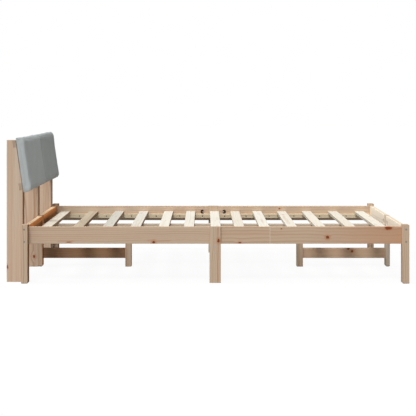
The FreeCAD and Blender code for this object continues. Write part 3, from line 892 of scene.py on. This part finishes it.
def fitted(points, normals, spans, settings, seed):
    """Presses the pad into its space, with sewn seams, soft creases at the corners and folds at the top, and
    flat where it lies on the battens."""
    low = points.min(axis=0)
    high = points.max(axis=0)
    target_low = np.array([span[0] for span in spans])
    target_high = np.array([span[1] for span in spans])
    share = (points - low) / (high - low)
    points = target_low + share * (target_high - target_low)
    depth = points[:, 2] - target_low[2]
    thickness = target_high[2] - target_low[2]
    beside = np.clip((1 - np.abs(normals[:, 2])) * 1.6, 0, 1)
    push = np.zeros(len(points))
    for level in SEAM_LEVELS:
        push -= settings.seam_depth * np.exp(-((depth - thickness * level) / SEAM_WIDTH) ** 2) * beside
    for number, (across, along, out) in enumerate(points):
        from_end = min(across - target_low[0], target_high[0] - across)
        from_top = target_high[1] - along
        from_rim = min(along - target_low[1], from_top)
        near_corner = fade(math.hypot(from_end, from_rim), CORNER_REACH)
        near_edge = fade(min(from_end, from_rim), EDGE_REACH)
        near_top = fade(from_top, TOP_REACH) * (MIDDLE_FOLDS + fade(from_end, END_REACH))
        dent = noise.noise(Vector((across * 9 + seed, along * 11, out * 9)))
        crease = noise.noise(Vector((across * 38, along * 30 + seed, out * 20)))
        fold = noise.noise(Vector((across * 7 + seed, (along + across * 0.06) * 70, 0)))
        push[number] += (dent * DENT_HEIGHT + crease * (CORNER_CREASE * near_corner + EDGE_CREASE * near_edge)
                         + fold * near_top * FOLD_HEIGHT)
    points = points + normals * push[:, None]
    points[:, 2] = np.maximum(points[:, 2], target_low[2])
    return points


def cushion_body(side, settings):
    """One padded cushion in its place, with its points in slant measures kept for its cover."""
    spans = cushion_spans(side, settings)
    shape = foam_block(spans, settings.puff * PUFF_ROOM)
    mesh = bpy.data.meshes.new("padded_cushion_" + side)
    shape.to_mesh(mesh)
    shape.free()
    pad = bpy.data.objects.new("padded_cushion_" + side, mesh)
    bpy.context.scene.collection.objects.link(pad)
    blown_up(pad, settings)
    mesh = pad.data
    points = np.array([vertex.co for vertex in mesh.vertices], float)
    normals = np.array([vertex.normal for vertex in mesh.vertices], float)
    points = fitted(points, normals, spans, settings, CREASE_SEEDS[side])
    attribute = mesh.attributes.new("cover_place", "FLOAT_VECTOR", "POINT")
    attribute.data.foreach_set("vector", points.astype(np.float32).ravel())
    placed = [tuple(on_slant(*point)) for point in points]
    mesh.vertices.foreach_set("co", np.array(placed, np.float32).ravel())
    mesh.polygons.foreach_set("use_smooth", [True] * len(mesh.polygons))
    mesh.update()
    return pad


def woven_cover(name, tone):
    """Plain weave of pale and darker threads with slubs, a little blotchy."""
    settings = bpy.context.scene.bed_cushion
    finish = Finish(name)
    across, along, out = finish.split(
        finish.node("ShaderNodeAttribute", {"attribute_name": "cover_place"}, output="Vector"))
    pitch = 2 * math.pi / THREAD_PITCH
    weave = ((across + out) * pitch).sine() * ((along + out) * pitch).sine()
    slub = finish.noise(finish.vector(across * 90, along * 900, out * 90), 1.0, 2.0)
    slub_other = finish.noise(finish.vector(across * 900, along * 90, out * 90 + 7), 1.0, 2.0)
    mottle = finish.noise(finish.vector(across * 9, along * 9, out * 9), 1.0, 3.0)
    threads = finish.blend(weave.step(-0.35, 0.35), settings.cover_shade, settings.cover)
    # On the right cushion the tone is painted shade
    colour = finish.shaded(threads, (0.90 + slub * 0.10 + slub_other * 0.08 + (mottle - 0.5) * 0.26) * tone)
    height = abs(weave) ** 0.5 * 0.7 + slub * 0.3 + mottle * 0.2
    return finish.done(colour, 0.86 + slub * 0.08, height, 0.0004, 0.5, Specular_IOR_Level=0.15)


class BED_OT_cushions(bpy.types.Operator):
    """Makes the two padded cushions of the headboard in place of their plain solids"""
    bl_idname = "bed.cushions"
    bl_label = "Cushions"

    def execute(self, context):
        settings = context.scene.bed_cushion
        for side, tone in PAINTED_COVER_SHADES.items():
            pad = cushion_body(side, settings)
            pad.data.materials.clear()
            pad.data.materials.append(woven_cover("woven_cover_" + side, tone))
            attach(pad, "root")
            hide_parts("cushion_" + side)
        return {"FINISHED"}


def sewing_thread():
    """Twisted sewing thread."""
    settings = bpy.context.scene.bed_cushion
    finish = Finish("sewing_thread")
    x, y, z = finish.place()
    twist = ((x + y + z) * (2 * math.pi / TWIST_PITCH)).sine()
    colour = finish.blend(twist.step(-0.5, 0.5), Vector(settings.thread) * 0.8, settings.thread)
    return finish.done(colour, 0.7 + twist * 0.05, twist, 0.0001, 0.4)


def seam_line(pad, spans, level):
    """A closed line round a cushion, on its cover, at a share of its thickness."""
    tree = BVHTree.FromPolygons([vertex.co for vertex in pad.data.vertices],
                                [polygon.vertices[:] for polygon in pad.data.polygons])
    (left, right), (bottom, top), (back, front) = spans
    out = back + (front - back) * level
    middle = ((left + right) / 2, (bottom + top) / 2)
    half = ((right - left) / 2, (top - bottom) / 2)
    points = []
    for number in range(SEAM_POINTS):
        turn = 2 * math.pi * number / SEAM_POINTS
        across, along = (
            centre + reach * math.copysign(abs(share) ** SEAM_SQUARENESS, share)
            for centre, reach, share in zip(middle, half, (math.cos(turn), math.sin(turn))))
        points.append(tree.find_nearest(on_slant(across, along, out))[0])
    return evenly_spaced(points, SEAM_STEP)


def evenly_spaced(points, step):
    """The closed line resampled at even steps."""
    ring = [*points, points[0]]
    lengths = [0.0]
    for first, second in zip(ring, ring[1:]):
        lengths.append(lengths[-1] + (second - first).length)
    count = round(lengths[-1] / step)
    even = []
    at = 0
    for number in range(count):
        wanted = lengths[-1] * number / count
        while lengths[at + 1] < wanted:
            at += 1
        span = max(lengths[at + 1] - lengths[at], 1e-9)
        even.append(ring[at].lerp(ring[at + 1], (wanted - lengths[at]) / span))
    return even


def stitch_tree():
    """Geometry Nodes that set short lengths of thread along a line."""
    tree = bpy.data.node_groups.new("row_of_stitches", "GeometryNodeTree")
    face = tree.interface
    face.new_socket("Geometry", in_out="INPUT", socket_type="NodeSocketGeometry")
    for name in ("Step", "Length", "Radius"):
        face.new_socket(name, in_out="INPUT", socket_type="NodeSocketFloat")
    face.new_socket("Material", in_out="INPUT", socket_type="NodeSocketMaterial")
    face.new_socket("Geometry", in_out="OUTPUT", socket_type="NodeSocketGeometry")

    def add(kind, **settings):
        node = tree.nodes.new(kind)
        for name, value in settings.items():
            setattr(node, name, value)
        return node

    inside = add("NodeGroupInput")
    outside = add("NodeGroupOutput")
    to_curve = add("GeometryNodeMeshToCurve")
    to_points = add("GeometryNodeCurveToPoints", mode="LENGTH")
    stitch = add("GeometryNodeMeshCylinder", fill_type="TRIANGLE_FAN")
    stitch.inputs["Vertices"].default_value = 6
    stitch.inputs["Side Segments"].default_value = 2
    turn = add("FunctionNodeAlignEulerToVector", axis="Z")
    instance = add("GeometryNodeInstanceOnPoints")
    realize = add("GeometryNodeRealizeInstances")
    paint = add("GeometryNodeSetMaterial")
    for first, second in (
        (inside.outputs["Geometry"], to_curve.inputs[0]),
        (to_curve.outputs[0], to_points.inputs["Curve"]),
        (inside.outputs["Step"], to_points.inputs["Length"]),
        (inside.outputs["Radius"], stitch.inputs["Radius"]),
        (inside.outputs["Length"], stitch.inputs["Depth"]),
        (to_points.outputs["Tangent"], turn.inputs["Vector"]),
        (to_points.outputs["Points"], instance.inputs["Points"]),
        (stitch.outputs["Mesh"], instance.inputs["Instance"]),
        (turn.outputs[0], instance.inputs["Rotation"]),
        (instance.outputs[0], realize.inputs[0]),
        (realize.outputs[0], paint.inputs["Geometry"]),
        (inside.outputs["Material"], paint.inputs["Material"]),
        (paint.outputs[0], outside.inputs[0]),
    ):
        tree.links.new(first, second)
    return tree


def input_name(tree, name):
    """The identifier of a node group's input."""
    return next(item.identifier for item in tree.interface.items_tree
                if item.item_type == "SOCKET" and item.in_out == "INPUT" and item.name == name)


class BED_OT_stitches(bpy.types.Operator):
    """Sews a row of stitches round the front and back seams of each cushion"""
    bl_idname = "bed.stitches"
    bl_label = "Stitches"

    def execute(self, context):
        settings = context.scene.bed_cushion
        tree = stitch_tree()
        thread = sewing_thread()
        for side in SIDES:
            pad = bpy.data.objects["padded_cushion_" + side]
            spans = cushion_spans(side, settings)
            mesh = bpy.data.meshes.new("stitches_" + side)
            points = []
            edges = []
            for level in SEAM_LEVELS:
                line = seam_line(pad, spans, level)
                start = len(points)
                points += line
                edges += [(start + number, start + (number + 1) % len(line)) for number in range(len(line))]
            mesh.from_pydata(points, edges, [])
            stitches = bpy.data.objects.new("stitches_" + side, mesh)
            context.scene.collection.objects.link(stitches)
            modifier = stitches.modifiers.new("row_of_stitches", "NODES")
            modifier.node_group = tree
            modifier[input_name(tree, "Step")] = settings.stitch_step
            modifier[input_name(tree, "Length")] = settings.stitch_length
            modifier[input_name(tree, "Radius")] = settings.thread_radius
            modifier[input_name(tree, "Material")] = thread
            apply_modifiers(stitches)
            if not stitches.data.polygons:
                raise RuntimeError("the stitches of the " + side + " cushion have no faces")
            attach(stitches, "root")
        return {"FINISHED"}


# Stage. The floor's first colour is the light that it sends back, and its second is what shows in its shadow.
# The camera stands level in front of the bed's near side, and its picture is shifted down
FLOOR_REACH = 40
FLOOR_COLOURS = (linear(150, 148, 145), linear(242, 242, 242))
FRONT_LAMP_WAY = (0.12, 0.62, -0.78)
HEAD_LAMP_WAY = (0.75, 0, -0.66)
LAMP_SPREAD = math.radians(22)
CAMERA_PLACE = Vector((-0.01716, -6.7077, 0.9521))
CAMERA_SHIFT = (0.01003, -0.25073)
SENSOR_WIDTH = 36
CAMERA_REACH = 100


def seen_by(tree, *rays):
    """1 where a ray of one of the given kinds looks, and 0 elsewhere."""
    return largest([add_node(tree, "ShaderNodeLightPath", output=f"Is {ray} Ray") for ray in rays])


class BED_OT_stage(bpy.types.Operator):
    """Sets the floor, the lights and the camera"""
    bl_idname = "bed.stage"
    bl_label = "Stage"

    def execute(self, context):
        settings = context.scene.bed_stage
        context.scene.view_settings.view_transform = "Standard"
        self.floor(settings)
        self.sky(settings)
        self.lamps(settings)
        self.camera(settings)
        return {"FINISHED"}

    def floor(self, settings):
        mesh = bpy.data.meshes.new("floor")
        corners = [(x * FLOOR_REACH, y * FLOOR_REACH, 0) for x, y in ((-1, -1), (1, -1), (1, 1), (-1, 1))]
        mesh.from_pydata(corners, [], [(0, 1, 2, 3)])
        floor = bpy.data.objects.new("floor", mesh)
        bpy.context.scene.collection.objects.link(floor)
        finish = Finish("pale_floor")
        seen = seen_by(finish.tree, "Camera", "Glossy")
        colour = finish.blend(seen, *FLOOR_COLOURS)
        diffuse = finish.node("ShaderNodeBsdfDiffuse", values={"Color": colour})
        white = finish.node("ShaderNodeEmission", values={"Color": (*settings.backdrop, 1)})
        mix = finish.node("ShaderNodeMixShader", values={
            0: seen * (1 - settings.shadow_share), 1: diffuse, 2: white})
        mesh.materials.append(finish.surface(mix))

    def sky(self, settings):
        world = bpy.data.worlds.new("studio")
        bpy.context.scene.world = world
        world.use_nodes = True
        tree = world.node_tree
        tree.nodes.clear()
        seen = seen_by(tree, "Camera", "Glossy", "Transmission")
        background = add_node(tree, "ShaderNodeBackground", values={
            "Color": (*settings.backdrop, 1),
            "Strength": settings.sky_strength + seen * (1 - settings.sky_strength)})
        add_node(tree, "ShaderNodeOutputWorld", values={0: background})

    def lamps(self, settings):
        for name, strength, way in (("front", settings.front_strength, FRONT_LAMP_WAY),
                                    ("head", settings.head_strength, HEAD_LAMP_WAY)):
            light = bpy.data.lights.new(name, "SUN")
            light.energy = strength
            light.angle = LAMP_SPREAD
            lamp = bpy.data.objects.new(name, light)
            lamp.rotation_euler = Vector(way).to_track_quat("-Z", "Y").to_euler()
            bpy.context.scene.collection.objects.link(lamp)

    def camera(self, settings):
        data = bpy.data.cameras.new("camera")
        data.lens = settings.lens
        data.sensor_width = SENSOR_WIDTH
        data.sensor_fit = "HORIZONTAL"
        data.shift_x, data.shift_y = CAMERA_SHIFT
        data.clip_end = CAMERA_REACH
        camera = bpy.data.objects.new("camera", data)
        camera.matrix_world = Matrix.Translation(CAMERA_PLACE) @ Matrix.Rotation(math.radians(90), 4, "X")
        bpy.context.scene.collection.objects.link(camera)
        bpy.context.scene.camera = camera


class BED_PT_panel(bpy.types.Panel):
    """The bed's pieces and their settings"""
    bl_idname = "BED_PT_panel"
    bl_label = "Bed frame"
    bl_space_type = "VIEW_3D"
    bl_region_type = "UI"
    bl_category = "Bed"

    def draw(self, context):
        for operator in OPERATORS:
            self.layout.operator(operator.bl_idname)
        for name in SETTINGS:
            group = getattr(context.scene, name)
            box = self.layout.box()
            for item in type(group).__annotations__:
                box.prop(group, item)


OPERATORS = (BED_OT_legs, BED_OT_rails, BED_OT_slats, BED_OT_centre_support, BED_OT_headboard_wood,
             BED_OT_fixings, BED_OT_cushions, BED_OT_stitches, BED_OT_stage)
SETTINGS = {"bed_pine": BedPineSettings, "bed_cushion": BedCushionSettings, "bed_steel": BedSteelSettings,
            "bed_stage": BedStageSettings}


def register():
    for group in SETTINGS.values():
        bpy.utils.register_class(group)
    for name, group in SETTINGS.items():
        setattr(bpy.types.Scene, name, bpy.props.PointerProperty(type=group))
    for operator in OPERATORS:
        bpy.utils.register_class(operator)
    bpy.utils.register_class(BED_PT_panel)


def unregister():
    bpy.utils.unregister_class(BED_PT_panel)
    for operator in reversed(OPERATORS):
        bpy.utils.unregister_class(operator)
    for name, group in SETTINGS.items():
        delattr(bpy.types.Scene, name)
        bpy.utils.unregister_class(group)


def main():
    register()
    bpy.ops.bed.legs()
    bpy.ops.bed.rails()
    bpy.ops.bed.slats()
    bpy.ops.bed.centre_support()
    bpy.ops.bed.headboard_wood()
    bpy.ops.bed.fixings()
    bpy.ops.bed.cushions()
    bpy.ops.bed.stitches()
    bpy.ops.bed.stage()


if __name__ == "__main__":
    main()
